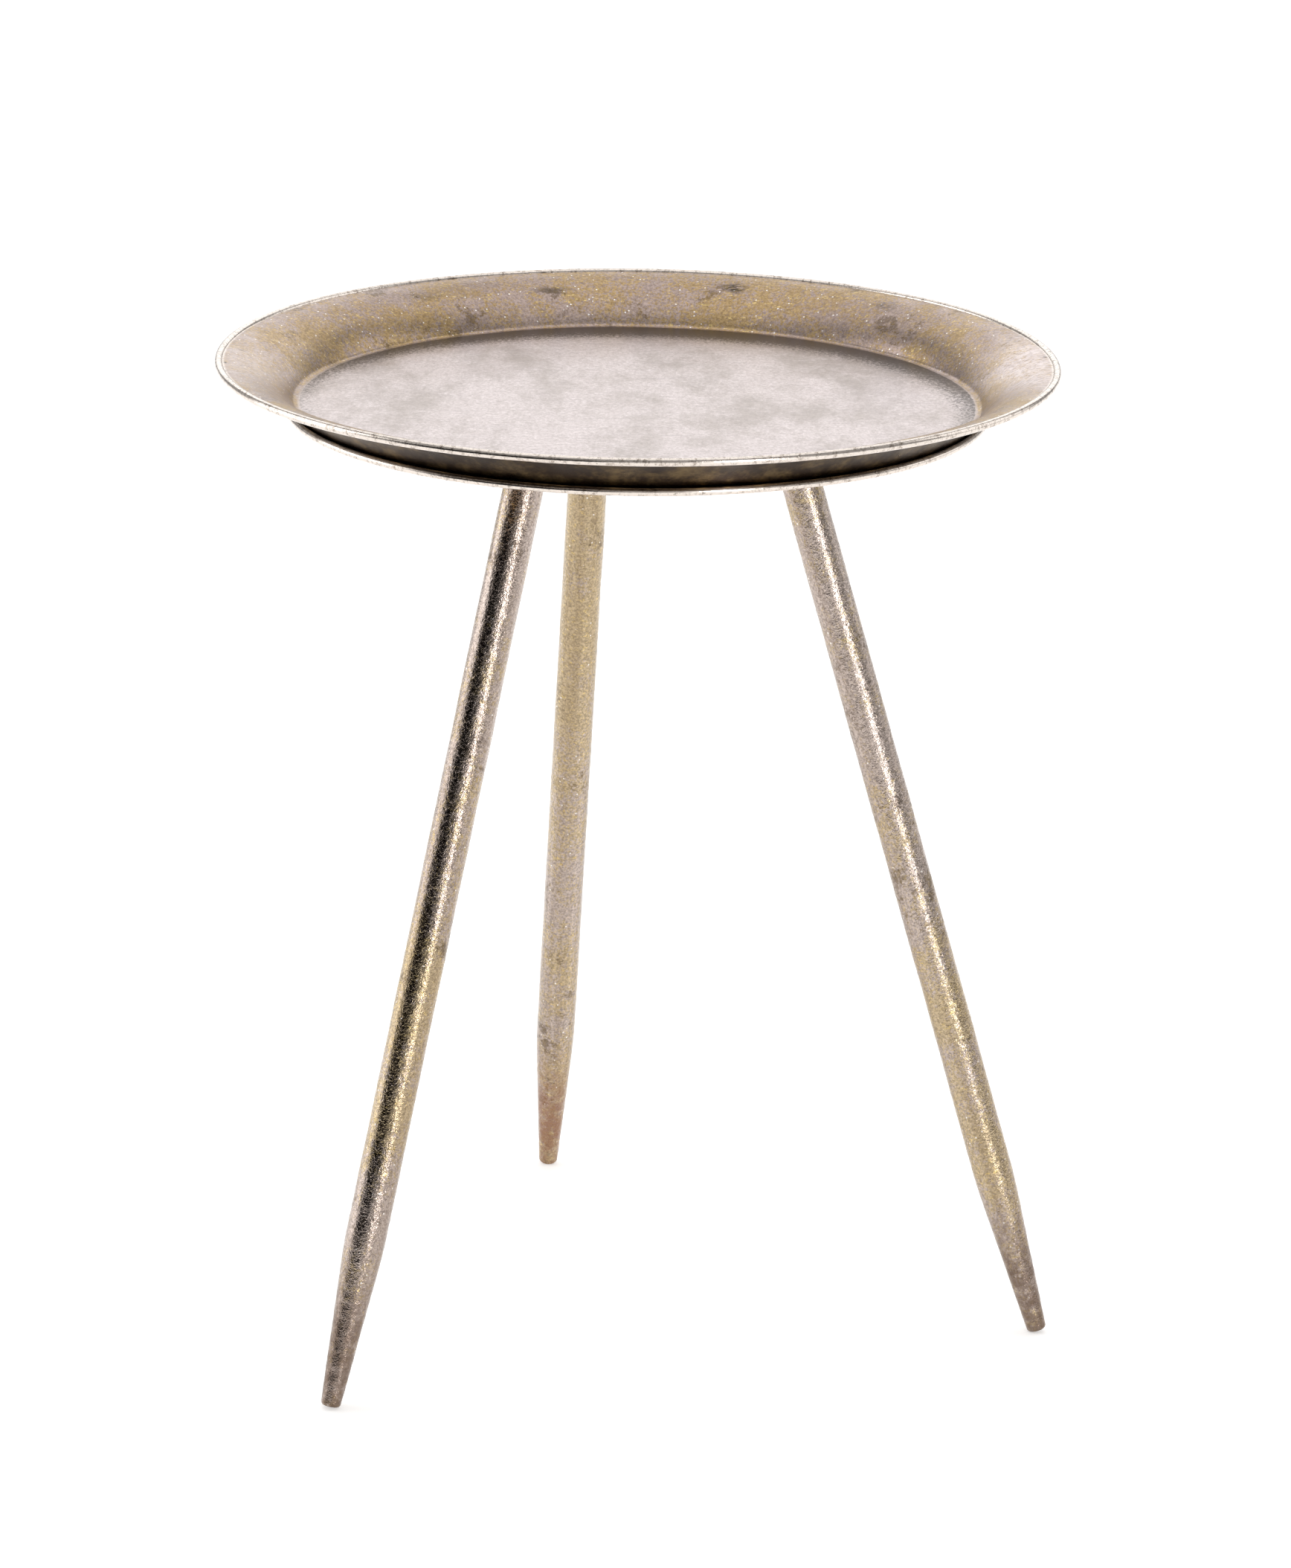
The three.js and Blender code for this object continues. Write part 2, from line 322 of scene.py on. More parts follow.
class Coat:
    """The nodes of one material, while they are put together."""

    def __init__(self, name: str, place: str = "", offset: Triple = (0.0, 0.0, 0.0)) -> None:
        """Starts an empty material.

        Args:
            name: the material's name.
            place: the attribute that patterns read their places from, or none for Object coordinates.
            offset: how far the patterns are moved, in metres.
        """
        self.material = bpy.data.materials.new(name)
        self.material.use_nodes = True
        self.material.node_tree.nodes.clear()
        if place:
            self.own = self.add("Attribute", attribute_name=place)["Vector"]
        else:
            self.own = self.add("TexCoord")["Object"]
        self.places = self.add("Mapping", {"Vector": self.own, "Location": offset})["Vector"]

    def add(
        self, kind: str, inputs: dict[str | int, object] | None = None, **settings: object
    ) -> bpy.types.NodeOutputs:
        """Adds one shader node.

        Args:
            kind: the node's type, without its ShaderNode prefix.
            inputs: a value, an sRGB hex colour or another node's output for each input.
            settings: the node's own properties.

        Returns:
            The new node's outputs.
        """
        tree = self.material.node_tree
        node = tree.nodes.new("ShaderNode" + kind)
        for name, value in settings.items():
            setattr(node, name, value)
        for key, value in (inputs or {}).items():
            if isinstance(value, Socket):
                tree.links.new(value, node.inputs[key])
            else:
                node.inputs[key].default_value = linear(value) if isinstance(value, str) else value
        return node.outputs

    def clouds(
        self,
        size: float,
        levels: tuple[float, float],
        rough: float = 0.6,
        detail: float = 4.0,
        twist: float = 0.0,
        stretch: Triple = (1.0, 1.0, 1.0),
        slant: float = 0.0,
    ) -> Socket:
        """Soft patches of one size, from 0 to 1.

        Args:
            size: of the patches, mm.
            levels: of the fractal noise, that become 0 and 1.
            rough: how strong the finer patches are.
            detail: how many times finer patches are added.
            twist: how far the patches are distorted.
            stretch: scale of the places; below 1, it draws the patches out into strokes.
            slant: turns those strokes about Z, radians.

        Returns:
            The patches' level.
        """
        mapping = {"Vector": self.places, "Scale": stretch, "Rotation": (0, 0, slant)}
        noise = {"Vector": self.add("Mapping", mapping)["Vector"], "Scale": per_metre(size)}
        noise |= {"Detail": detail, "Roughness": rough, "Distortion": twist}
        ends = {"Value": self.add("TexNoise", noise)["Fac"], "From Min": levels[0], "From Max": levels[1]}
        return self.add("MapRange", ends, **SMOOTH)["Result"]

    def dots(self, spacing: float, share: float, size: float, seed: float) -> Socket:
        """A few round dots: cells of the given spacing, of which a share is lit near its middle."""
        moved = self.add("VectorMath", {0: self.places, 1: (seed, seed, seed)}, operation="ADD")[0]
        cells = self.add("TexVoronoi", {"Vector": moved, "Scale": per_metre(spacing)})
        drawn = self.add("SeparateColor", {"Color": cells["Color"]})[0]
        chosen = self.add("Math", {0: drawn, 1: share}, operation="LESS_THAN")[0]
        ends = {"Value": cells["Distance"], "From Min": size, "From Max": size / 2}
        near = self.add("MapRange", ends, **SMOOTH)["Result"]
        return self.add("Math", {0: chosen, 1: near}, operation="MULTIPLY")[0]

    def rubbed(self, level: Socket, strokes: Socket, spread: float) -> Socket:
        """A level broken into strokes: where the level and the strokes together pass a half, it is laid."""
        broken = self.add("Math", {0: strokes, 1: spread, 2: level}, operation="MULTIPLY_ADD")[0]
        ends = {"Value": broken, "From Min": 0.3 + spread / 2, "From Max": 0.7 + spread / 2}
        return self.add("MapRange", ends, **SMOOTH)["Result"]

    def layered(self, ground: str | Socket, *layers: Layer) -> Socket:
        """Lays colours one over the other on a ground colour, the first at the bottom."""
        colour = ground
        for layer in layers:
            share = self.add("Math", {0: layer.share, 1: layer.strength}, operation="MULTIPLY")[0]
            inputs = {0: share, 6: colour, 7: layer.colour}
            colour = self.add("Mix", inputs, data_type="RGBA", blend_type=layer.mode)[2]
        return colour

    def finished(self, inputs: dict[str, object]) -> Material:
        """Ends the nodes in one surface with these inputs, and hands over the material."""
        self.add("OutputMaterial", {"Surface": self.add("BsdfPrincipled", inputs)[0]})
        return self.material


@dataclass(frozen=True)
class AgedPlate:
    """Brass plate under a rubbed-back silvery wash, as on antiqued hollow ware.

    The eye sees a cool lilac-grey film and warm gold mixed as fine strokes, with the gold gathering in
    clouds, brown tarnish in patches, bright dots painted in as glints of light, and a lightly
    pebbled surface that breaks up the reflections.
    """

    name: str
    silver: str = "#B8A59D"
    gold: str = "#BFA378"
    fleck_gold: str = "#F0D594"
    tarnish: str = "#6E5D4B"
    # colour of the painted glints, bright dots that stand in for sparkles of light
    bright: str = "#FBF7F2"
    grain_shade: str = "#D4D2D0"  # the colour is multiplied by this in the finest grain's hollows
    gold_share: float = 0.5  # how much of the surface is gold
    gold_cloud: float = 60  # size of the gold clouds, mm
    gold_contrast: float = 0.7  # between the clouds' gold and what is round them
    stroke: float = 1.7  # width of the strokes that silver and gold are mixed in, mm
    fleck_slant: float = 0.7  # of the gold flecks' strokes, radians
    tarnish_share: float = 0.25
    tarnish_cloud: float = 26  # size of the brown patches, mm
    glint_spacing: float = 1.8  # spacing of the cells that painted glints are drawn in, mm
    glint_share: float = 0.07  # how many of those cells have a painted glint
    roughness: Pair = (0.27, 0.40)
    handling: float = 12  # size of the patches that are smoother or rougher, mm
    pebble: float = 1.6  # size of the surface's pebbles, mm
    pebble_height: float = 0.05  # mm
    pebble_twist: float = 1.2  # how far they are from round
    grain: float = 0.8  # size of the finest roughness, mm
    grain_height: float = 0.01  # mm
    place: str = ""  # attribute to read places from, or Object coordinates
    offset: Triple = (0.0, 0.0, 0.0)
    smudges: tuple["Smudge", ...] = ()

    def extra_layers(self, coat: Coat) -> list[Layer]:
        """Lets a finish lay more colours on top. The plain plate has none."""
        return []

    def relief(self, coat: Coat) -> Socket | float:
        """How strong the surface's pebbles are, from 0 to 1, all over the plain plate."""
        return 1.0

    def worn_smooth(self, coat: Coat, rough: Socket) -> Socket:
        """Lets a finish be smoother where it is handled. The plain plate is as rough all over."""
        return rough

    def gold_level(self, coat: Coat) -> Socket:
        """How much gold shows: large clouds, broken by patches a fifth of their size."""
        large = coat.clouds(self.gold_cloud, levels=(0.38, 0.62))
        small = coat.clouds(self.gold_cloud / 5, levels=(0.34, 0.66))
        both = coat.add("Mix", {0: 0.45, 2: large, 3: small}, data_type="FLOAT")[0]
        inputs = {0: both, 1: self.gold_contrast, 2: self.gold_share - self.gold_contrast / 2}
        return coat.add("Math", inputs, operation="MULTIPLY_ADD")[0]

    def material(self) -> Material:
        """Builds the finish as a material."""
        coat = Coat(self.name, self.place, self.offset)
        strokes = coat.clouds(self.stroke, levels=(0.32, 0.68), rough=0.7, twist=0.9)
        gold = coat.rubbed(self.gold_level(coat), strokes, spread=0.8)
        hatching = {"rough": 0.65, "twist": 0.6, "stretch": (0.3, 1.0, 1.0), "slant": self.fleck_slant}
        flecks = coat.clouds(self.stroke * 0.8, levels=(0.56, 0.68), **hatching)
        level = 0.70 - 0.4 * self.tarnish_share  # of the noise that tarnish starts near
        brown = coat.clouds(self.tarnish_cloud, levels=(level - 0.1, level + 0.16), rough=0.7)
        mottle = coat.clouds(self.grain * 1.6, levels=(0.34, 0.68), rough=0.8)
        colour = coat.layered(
            self.silver,
            Layer(gold, self.gold),
            Layer(coat.add("Math", {0: flecks, 1: gold}, operation="MULTIPLY")[0], self.fleck_gold),
            Layer(coat.rubbed(brown, strokes, spread=0.5), self.tarnish, strength=0.6),
            Layer(mottle, self.grain_shade, mode="MULTIPLY"),
            # painted glints: bright dots laid into the colour
            Layer(coat.dots(self.glint_spacing, self.glint_share, size=0.30, seed=7.7), self.bright),
            *self.extra_layers(coat),
        )
        patch = coat.clouds(self.handling, levels=(0.3, 0.7), rough=0.7)
        ends = {"Value": patch, "To Min": self.roughness[0], "To Max": self.roughness[1]}
        rough = self.worn_smooth(coat, coat.add("MapRange", ends)["Result"])
        strength = self.relief(coat)
        normal: dict[str, Socket] = {}
        pebbles = (self.pebble, self.pebble_height, self.pebble_twist)
        for size, height, twist in (pebbles, (self.grain, self.grain_height, 0.0)):
            noise = {"Vector": coat.places, "Scale": per_metre(size), "Detail": 2.0, "Distortion": twist}
            bump = {"Height": coat.add("TexNoise", noise)["Fac"], "Distance": height * MM / NOISE_SPAN}
            normal = {"Normal": coat.add("Bump", {"Strength": strength, **bump, **normal})["Normal"]}
        return coat.finished({"Base Color": colour, "Metallic": 1.0, "Roughness": rough, **normal})


@dataclass(frozen=True)
class Smudge:
    """A rubbed place on the tray, darker or paler than the plate round it."""

    bearing: float  # degrees from +X
    radius: float  # from the tray's axis, mm
    length: float  # round the rim, mm
    width: float  # across the rim, mm
    strength: float = 1.0
    colour: str = "#3A342E"
    stroke: float = 1.6  # width of the strokes that it is broken into, mm
    slant: float = 50  # of the strokes, degrees from the rim's outward direction

    def layer(self, coat: Coat) -> Layer:
        """The smudge as a layer: an ellipse along the rim, broken into short strokes."""
        turn = math.radians(self.bearing)
        ellipse = {
            "Vector": coat.places,
            "Location": Vector((self.radius * math.cos(turn), self.radius * math.sin(turn), 0)) * MM,
            "Rotation": (0, 0, turn),
            "Scale": (self.width / 2 * MM, self.length / 2 * MM, ANY_HEIGHT),
        }
        local = coat.add("Mapping", ellipse, vector_type="TEXTURE")["Vector"]
        away = coat.add("VectorMath", {0: local}, operation="LENGTH")["Value"]
        ends = {"Value": away, "From Min": 1.0, "From Max": 0.2}
        inside = coat.add("MapRange", ends, **SMOOTH)["Result"]
        hatching = {"stretch": (0.28, 1.0, 1.0), "slant": math.radians(self.slant) - turn}
        strokes = coat.clouds(self.stroke, levels=(0.36, 0.58), rough=0.75, **hatching)
        share = coat.add("Math", {0: inside, 1: strokes}, operation="MULTIPLY")[0]
        return Layer(share, self.colour, self.strength)


@dataclass(frozen=True)
class TrayPlate(AgedPlate):
    """The tray's plate: pale and brushed on the floor, golden brown on the rim, rubbed bright on the bead.

    The mesh carries four attributes from 0 to 1: floor on the flat face, bead on the rolled edge, under
    on the underside, whose dark brown is painted shade, and corner where shade is painted round the floor's
    edge.
    """

    floor_colour: str = "#DBD0D0"
    floor_shade: str = "#A2968F"
    floor_grain: str = "#E2DFDE"
    # painted shade: the underside's near-black brown stands in for the shade under the rim; its gold blotches
    # are the plate's own colour
    under_shade_colour: str = "#382C23"
    under_gold: str = "#7A6646"
    bead_colour: str = "#E6DCD3"
    bead_shade: str = "#7C6C5E"
    # painted shade round the floor's edge, standing in for the rim's shade and dark reflection there
    corner_shade_colour: str = "#3E312A"
    scratch_colour: str = "#8D8384"
    pit_colour: str = "#4A423E"
    scratches: tuple[float, ...] = (14, 68, 128, 171)  # directions of the floor's fine scratches, degrees
    floor_roughness: float = 0.29
    bead_roughness: float = 0.2
    floor_relief: float = 0.25  # how strong the pebbles are there, as a part of the rim's

    def extra_layers(self, coat: Coat) -> list[Layer]:
        """The floor's pale wash, the painted shade round the floor's edge, the smudges, the bead's wear and
        the underside's painted shade.
        """
        marks = ("floor", "corner", "bead", "under")
        floor, corner, bead, under = (coat.add("Attribute", attribute_name=m)["Fac"] for m in marks)
        broken = coat.clouds(1.6, levels=(0.3, 0.7), rough=0.85)
        wear = coat.clouds(3, levels=(0.46, 0.74), rough=0.85)
        blotch = coat.clouds(16, levels=(0.4, 0.78), rough=0.75)
        worn = coat.layered(self.bead_colour, Layer(wear, self.bead_shade))
        # the underside: painted shade in near-black brown, with blotches of the plate's own gold
        below = coat.layered(self.under_shade_colour, Layer(blotch, self.under_gold))
        return [
            Layer(floor, self.floor_wash(coat)),
            # painted shade round the floor's edge, broken into strokes
            Layer(coat.rubbed(corner, broken, spread=0.5), self.corner_shade_colour),
            *(smudge.layer(coat) for smudge in self.smudges),
            Layer(bead, worn),
            Layer(under, below),
        ]

    def floor_wash(self, coat: Coat) -> Socket:
        """The floor's colour: a pale wash in short level strokes, stained in clouds, pitted and scratched."""
        level = {"stretch": (1.0, 0.5, 1.0), "slant": 0.2}
        strokes = coat.clouds(1.6, levels=(0.34, 0.66), detail=5.0, rough=0.8, **level)
        stains = coat.clouds(36, levels=(0.40, 0.68), detail=7.0, rough=0.78, **level)
        grain = coat.clouds(self.grain * 2.2, levels=(0.36, 0.66), detail=3.0, rough=0.8)
        layers = [
            Layer(strokes, self.floor_shade, strength=0.5),
            Layer(stains, self.floor_shade, strength=0.85),
            Layer(grain, self.floor_grain, mode="MULTIPLY"),
        ]
        for direction in self.scratches:
            drawn = {"stretch": (0.03, 1.0, 1.0), "slant": math.radians(direction)}
            scratch = coat.clouds(0.9, levels=(0.68, 0.74), detail=1.0, **drawn)
            layers.append(Layer(scratch, self.scratch_colour, strength=0.35))
        layers.append(Layer(coat.dots(7, share=0.07, size=0.06, seed=1.9), self.pit_colour))
        return coat.layered(self.floor_colour, *layers)

    def worn_smooth(self, coat: Coat, rough: Socket) -> Socket:
        """The bead is rubbed smoother than the rest, and the floor is evenly smooth."""
        for zone, smooth in (("floor", self.floor_roughness), ("bead", self.bead_roughness)):
            inside = coat.add("Attribute", attribute_name=zone)["Fac"]
            rough = coat.add("Mix", {0: inside, 2: rough, 3: smooth}, data_type="FLOAT")[0]
        return rough

    def relief(self, coat: Coat) -> Socket:
        """The pebbles are strong on the rim and faint on the floor."""
        floor = coat.add("Attribute", attribute_name="floor")["Fac"]
        ends = {"Value": floor, "To Min": 1.0, "To Max": self.floor_relief}
        return coat.add("MapRange", ends)["Result"]


@dataclass(frozen=True)
class LegPlate(AgedPlate):
    """A leg's plate: glossier over finer, sharper pebbles, golden on one stretch and brown at the foot.

    The mesh carries its own places, in metres, with Z running up the leg's axis.
    """

    silver: str = "#CEBFB6"
    gold: str = "#D2BE9D"
    grain_shade: str = "#B8B6B5"
    glint_share: float = 0.05
    roughness: Pair = (0.12, 0.2)
    pebble: float = 1.3
    pebble_height: float = 0.052
    grain: float = 0.75
    grain_height: float = 0.02
    place: str = "leg_place"
    gold_from: float = 0.0  # lower end of the golden stretch, mm up the leg
    gold_to: float = 100.0  # its upper end, mm
    foot_colour: str = "#6E5C50"
    foot_length: float = 70  # how far up the tarnish of the foot reaches, mm
    drawn_shade: str = "#E5E2DF"  # of the faint lengthways streaks, which multiply the colour

    def gold_level(self, coat: Coat) -> Socket:
        """The plain plate's gold, raised over the golden stretch."""
        height = coat.add("SeparateXYZ", {0: coat.own})[2]
        middle = (self.gold_from + self.gold_to) / 2 * MM
        half = (self.gold_to - self.gold_from) / 2 * MM
        above = coat.add("Math", {0: height, 1: middle}, operation="SUBTRACT")[0]
        away = coat.add("Math", {0: above}, operation="ABSOLUTE")[0]
        ends = {"Value": away, "From Min": half * 1.3, "From Max": half * 0.6}
        inside = coat.add("MapRange", ends, **SMOOTH)["Result"]
        raised = {0: inside, 1: 0.4, 2: super().gold_level(coat)}
        return coat.add("Math", raised, operation="MULTIPLY_ADD", use_clamp=True)[0]

    def extra_layers(self, coat: Coat) -> list[Layer]:
        """Faint streaks along the leg, and the foot's brown with its uneven upper edge."""
        height = coat.add("SeparateXYZ", {0: coat.own})[2]
        reach = self.foot_length * MM
        ends = {"Value": height, "From Min": reach * 1.25, "From Max": reach * 0.4}
        low = coat.add("MapRange", ends, **SMOOTH)["Result"]
        patches = coat.clouds(7, levels=(0.25, 0.6), rough=0.75)
        streaks = coat.clouds(7, levels=(0.35, 0.65), detail=2.0, stretch=(1.0, 1.0, 0.02))
        share = coat.add("Math", {0: low, 1: patches}, operation="MULTIPLY")[0]
        return [
            Layer(streaks, self.drawn_shade, mode="MULTIPLY"),
            Layer(share, self.foot_colour, strength=0.8),
        ]


@dataclass(frozen=True)
class ZincSteel:
    """Zinc-plated steel, as turned or rolled: cool grey, with a faint bluish bloom and fine tool marks."""

    name: str = "zinc_plated_turned_steel"
    colour: str = "#A9ACB2"
    bloom: str = "#8C93A0"
    bloom_size: float = 6  # mm
    mark_size: float = 0.8  # mm
    mark_depth: float = 0.05  # mm
    roughness: Pair = (0.25, 0.45)

    def material(self) -> Material:
        """Builds the finish as a material."""
        coat = Coat(self.name)
        clouds, marks = (
            coat.add("TexNoise", {"Vector": coat.places, "Scale": per_metre(size), "Detail": detail})
            for size, detail in ((self.bloom_size, 3.0), (self.mark_size, 4.0))
        )
        ends = {"Value": marks["Fac"], "To Min": self.roughness[0], "To Max": self.roughness[1]}
        bump = {"Height": marks["Fac"], "Distance": self.mark_depth * MM}
        return coat.finished({
            "Base Color": coat.layered(self.colour, Layer(clouds["Fac"], self.bloom)),
            "Metallic": 1.0,
            "Roughness": coat.add("MapRange", ends)["Result"],
            "Normal": coat.add("Bump", bump)["Normal"],
        })


@dataclass(frozen=True)
class Felt:
    """Pressed wool felt: matt dark brown, with matted fibres a millimetre or two long and a soft sheen."""

    name: str = "pressed_wool_felt"
    colour: str = "#4A3F37"
    fibre: str = "#6B5D51"
    fibre_size: float = 1.2  # mm
    fibre_height: float = 0.5  # mm

    def material(self) -> Material:
        """Builds the finish as a material."""
        coat = Coat(self.name)
        noise = {"Vector": coat.places, "Scale": per_metre(self.fibre_size), "Detail": 6.0}
        fibres = coat.add("TexNoise", {**noise, "Roughness": 0.7, "Distortion": 2.5})["Fac"]
        bump = {"Height": fibres, "Distance": self.fibre_height * MM}
        return coat.finished({
            "Base Color": coat.layered(self.colour, Layer(fibres, self.fibre)),
            "Roughness": 0.95,
            "Sheen Weight": 0.4,
            "Normal": coat.add("Bump", bump)["Normal"],
        })


@dataclass(frozen=True)
class Backdrop:
    """Matt studio paper or cloth: no highlight, barely uneven, and glowing where it is lit all round."""

    name: str
    colour: str
    patch_colour: str
    glow: float = 0.0
    patch: float = 300  # size of its paler patches, mm

    def material(self) -> Material:
        """Builds the finish as a material."""
        coat = Coat(self.name)
        noise = {"Vector": coat.places, "Scale": per_metre(self.patch), "Detail": 2.0}
        patches = coat.add("TexNoise", noise)["Fac"]
        return coat.finished({
            "Base Color": coat.layered(self.colour, Layer(patches, self.patch_colour)),
            "Roughness": 1.0,
            "Specular IOR Level": 0.0,
            "Emission Color": (1, 1, 1, 1),
            "Emission Strength": self.glow,
        })


# ---- Tray ----


@dataclass
class SpunTray:
    """The loose tray: one spun sheet with a flat floor, a flared rim and a rolled bead."""

    sheet: float = 1.2
    rim_width: float = 39  # from the flat floor's edge to the outside of the bead
    corner_radius: float = 3
    bead_radius: float = 1.9
    root_angle: float = 54  # rim's slope where it leaves the floor, degrees
    lip_angle: float = 4  # rim's slope where it meets the bead, degrees
    reach: float = 0.62  # how far both ends of the rim run straight towards the bend
    lip_on_bead: float = 160  # where the rim runs into the bead, degrees round it
    seam_depth: float = 0.55  # of the groove where the rolled edge closes under the rim
    seam_place: float = 9  # of the groove, degrees round the bead from its start
    seam_width: float = 6  # degrees round the bead
    segments: int = 480
    floor_waves: tuple[Waves, ...] = (Waves(0.13, 50, 140, seed=11), Waves(0.02, 14, 30, seed=12))
    bead_dents: Waves = Waves(0.02, 6, 24, seed=13)
    calm_edge: float = 4  # the sheet is even this far in from its edge
    corner_shade_side: float = 80  # bearing where the painted corner shade is widest, degrees
    corner_shade_reach: float = 46  # how far the painted shade reaches over the floor there, mm
    corner_shade_least: float = 0.28  # how much painted shade there is on the opposite side, as a part of that
    radius: float = field(init=False)
    depth: float = field(init=False)
    floor_height: float = field(init=False)
    corner_middle: Pair = field(init=False)
    bead_middle: Pair = field(init=False)

    def __post_init__(self) -> None:
        """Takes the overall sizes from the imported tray."""
        low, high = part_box("tray")
        self.radius = (high.x - low.x) / 2 / MM
        self.floor_height = low.z / MM + self.sheet
        self.depth = high.z / MM - self.floor_height
        self.corner_middle = (self.radius - self.rim_width, self.corner_radius)
        self.bead_middle = (self.radius - self.bead_radius, self.depth - self.bead_radius)

    def rim(self, steps: int) -> tuple[Profile, Profile]:
        """The flare's top face and direction: a cubic curve from the steep root to the nearly flat lip."""
        root = arc(self.corner_middle, self.corner_radius, -90, self.root_angle - 90, steps=1)[-1]
        lip = arc(self.bead_middle, self.bead_radius, 0, self.lip_on_bead, steps=1)[-1]
        rise_root, rise_lip = (math.tan(math.radians(a)) for a in (self.root_angle, self.lip_angle))
        run = (lip[1] - root[1] - rise_lip * (lip[0] - root[0])) / (rise_root - rise_lip)
        bend = root + run * np.array([1, rise_root])
        corners = np.array([root, root + (bend - root) * self.reach, lip + (bend - lip) * self.reach, lip])
        along = bezier(np.diff(corners, axis=0), steps)
        return bezier(corners, steps), along / np.linalg.norm(along, axis=1, keepdims=True)

    def bead(self, start: float, steps: int) -> Profile:
        """The rolled edge: a circle from the rim's underside round to its top, with the seam's groove.

        The circle's radius is smaller by the seam's depth where the rolled edge closes, and comes back
        within a few degrees as a bell curve of the angle.
        """
        angle = np.linspace(start, self.lip_on_bead, steps + 1)[:, None]
        seam = self.seam_depth * np.exp(-(((angle - start - self.seam_place) / self.seam_width) ** 2))
        return arc(self.bead_middle, self.bead_radius - seam, start, self.lip_on_bead, steps)

    def profile(self) -> tuple[Profile, np.ndarray]:
        """The outline from the axis along the underside and back over the top, and its zones."""
        well = self.corner_middle[0]
        end = self.root_angle - 90
        top, along = self.rim(steps=34)
        under = top + self.sheet * np.stack([along[:, 1], -along[:, 0]], axis=-1)
        last = under[-1] - self.bead_middle
        return joined([
            (Zone.UNDER, line((UNDER_HUB, -self.sheet), (well - 1, -self.sheet), steps=24)),
            (Zone.UNDER, arc(self.corner_middle, self.corner_radius + self.sheet, -90, end, steps=7)),
            (Zone.UNDER, under[1:-1]),
            (Zone.BEAD, self.bead(math.degrees(math.atan2(last[1], last[0])), steps=44)),
            (Zone.RIM, top[1:-1][::-1]),
            (Zone.RIM, arc(self.corner_middle, self.corner_radius, end, -90, steps=8)),
            (Zone.FLOOR, line((well - 1.2, 0), (TOP_HUB, 0), steps=50)),
        ])

    def tarnish(self, distance: np.ndarray) -> np.ndarray:
        """How much shade is painted on the floor at each distance, for the rim's shade and dark reflection:
        most and widest on one side.
        """
        well = self.corner_middle[0]
        swing = 0.5 + 0.5 * np.cos(circle(self.segments) - math.radians(self.corner_shade_side))
        side = self.corner_shade_least + (1 - self.corner_shade_least) * swing**1.5
        return ramp(distance, well - self.corner_shade_reach * side, well + 1) * side

    def build(self, finish: Material) -> Object:
        """Turns the outline, adds the sheet's unevenness and marks the zones for the finish."""
        outline, zones = self.profile()
        rows = turned(outline, self.segments)
        distance = outline[:, :1]
        flat = rows * np.array([1, 1, 0])
        lift = sum(waves.at(flat) for waves in self.floor_waves)
        lift *= ramp(-distance, self.calm_edge - self.radius, self.rim_width - self.radius)
        rows[..., 2] += lift + self.floor_height
        push(rows, (zones == Zone.BEAD) * self.bead_dents.at(rows))
        tray = skin("tray_spun_sheet", rows, *centres(rows))
        well = self.corner_middle[0]
        floor = (zones >= Zone.RIM) * (1 - ramp(distance, well - 0.8, well + 0.6))
        # corner carries the painted shade round the floor's edge
        mark_zones(tray, zones, self.segments, floor, (zones == Zone.FLOOR) * self.tarnish(distance))
        return finish_piece(tray, Body.TRAY, finish, "tray")


# ---- Support plate ----


@dataclass
class SupportPlate:
    """The flat disc under the tray, with its edge rolled into a bead that stands above it."""

    sheet: float = 1.5
    bead_radius: float = 1.9
    seam: tuple[Pair, ...] = ((-1.0, 0.0), (-0.75, 0.5), (-0.5, 0.1))  # groove, from below the bead's middle
    segments: int = 480
    waves: Waves = Waves(0.05, 60, 150, seed=21)
    bead_dents: Waves = Waves(0.02, 6, 24, seed=22)
    radius: float = field(init=False)
    underside: float = field(init=False)

    def __post_init__(self) -> None:
        """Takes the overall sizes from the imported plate."""
        low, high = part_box("support_plate")
        self.radius = (high.x - low.x) / 2 / MM
        self.underside = low.z / MM

    def profile(self) -> tuple[Profile, np.ndarray]:
        """The outline from the axis along the underside and back over the top, and its zones."""
        middle = self.radius - self.bead_radius
        meets = 180 + math.degrees(math.asin((self.bead_radius - self.sheet) / self.bead_radius))
        return joined([
            (Zone.RIM, line((UNDER_HUB, 0), (middle - 1.4, 0), steps=40)),
            (Zone.RIM, np.array(self.seam) + [middle, 0]),
            (Zone.BEAD, arc((middle, self.bead_radius), self.bead_radius, -88, meets, steps=44)),
            (Zone.RIM, line((middle - self.bead_radius - 0.4, self.sheet), (TOP_HUB, self.sheet), steps=44)),
        ])

    def build(self, finish: Material) -> Object:
        """Turns the outline and marks the bead for the finish; both faces are plated as the tray's rim is."""
        outline, zones = self.profile()
        rows = turned(outline, self.segments)
        rows[..., 2] += self.waves.at(rows * np.array([1, 1, 0])) + self.underside
        push(rows, (zones == Zone.BEAD) * self.bead_dents.at(rows))
        plate = skin("plate_spun_disc", rows, *centres(rows))
        mark_zones(plate, zones, self.segments)
        return finish_piece(plate, Body.BASE, finish, "support_plate")


# ---- Legs and their fittings ----


